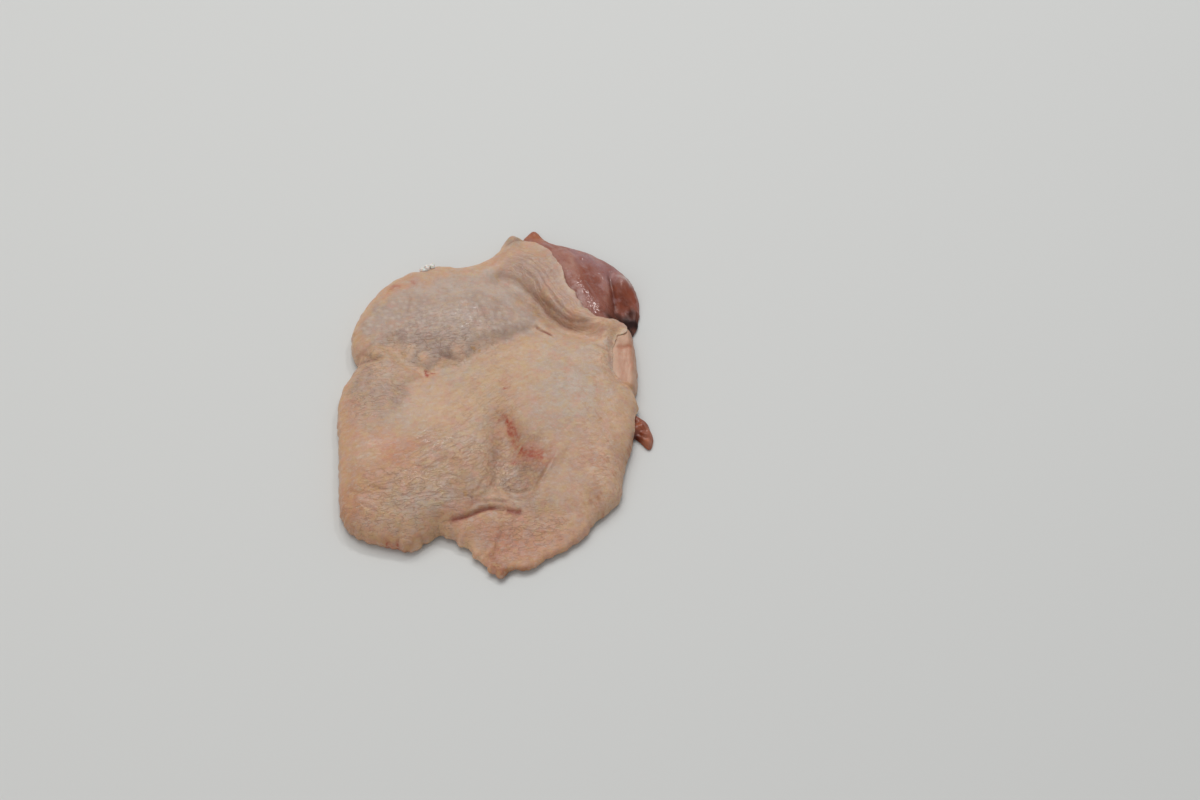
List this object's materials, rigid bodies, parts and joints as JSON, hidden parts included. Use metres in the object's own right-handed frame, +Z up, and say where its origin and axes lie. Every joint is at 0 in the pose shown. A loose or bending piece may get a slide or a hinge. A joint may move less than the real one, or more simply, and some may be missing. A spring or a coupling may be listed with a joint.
{
  "type": "raw chicken thigh steak",
  "caption": "Raw boned chicken thigh lying skin side up: pale draped skin with folds over thigh meat, one muscle bare at the back right corner.",
  "frame": {"origin": "under the middle of the steak's box, on the surface it lies on", "axes": "+Z up through the skin, +Y along the steak towards the end with the bare muscle, +X to the right seen from the front"},
  "size_m": [0.1318, 0.1892, 0.0158],
  "materials": {
    "raw_meat": "wet raw muscle, rose to mauve, with a silvery sheen",
    "raw_skin": "moist raw poultry skin, cream to pink over grey-lilac meat",
    "raw_fat": "soft raw fat, pale orange-pink, slightly wet",
    "raw_meat_tab": "wet raw meat, pink-red"
  },
  "bodies": {
    "root": {"thigh_meat": "raw_meat", "skin": "raw_skin", "fat_strip": "raw_fat", "meat_tab": "raw_meat_tab"}
  },
  "joints": []
}
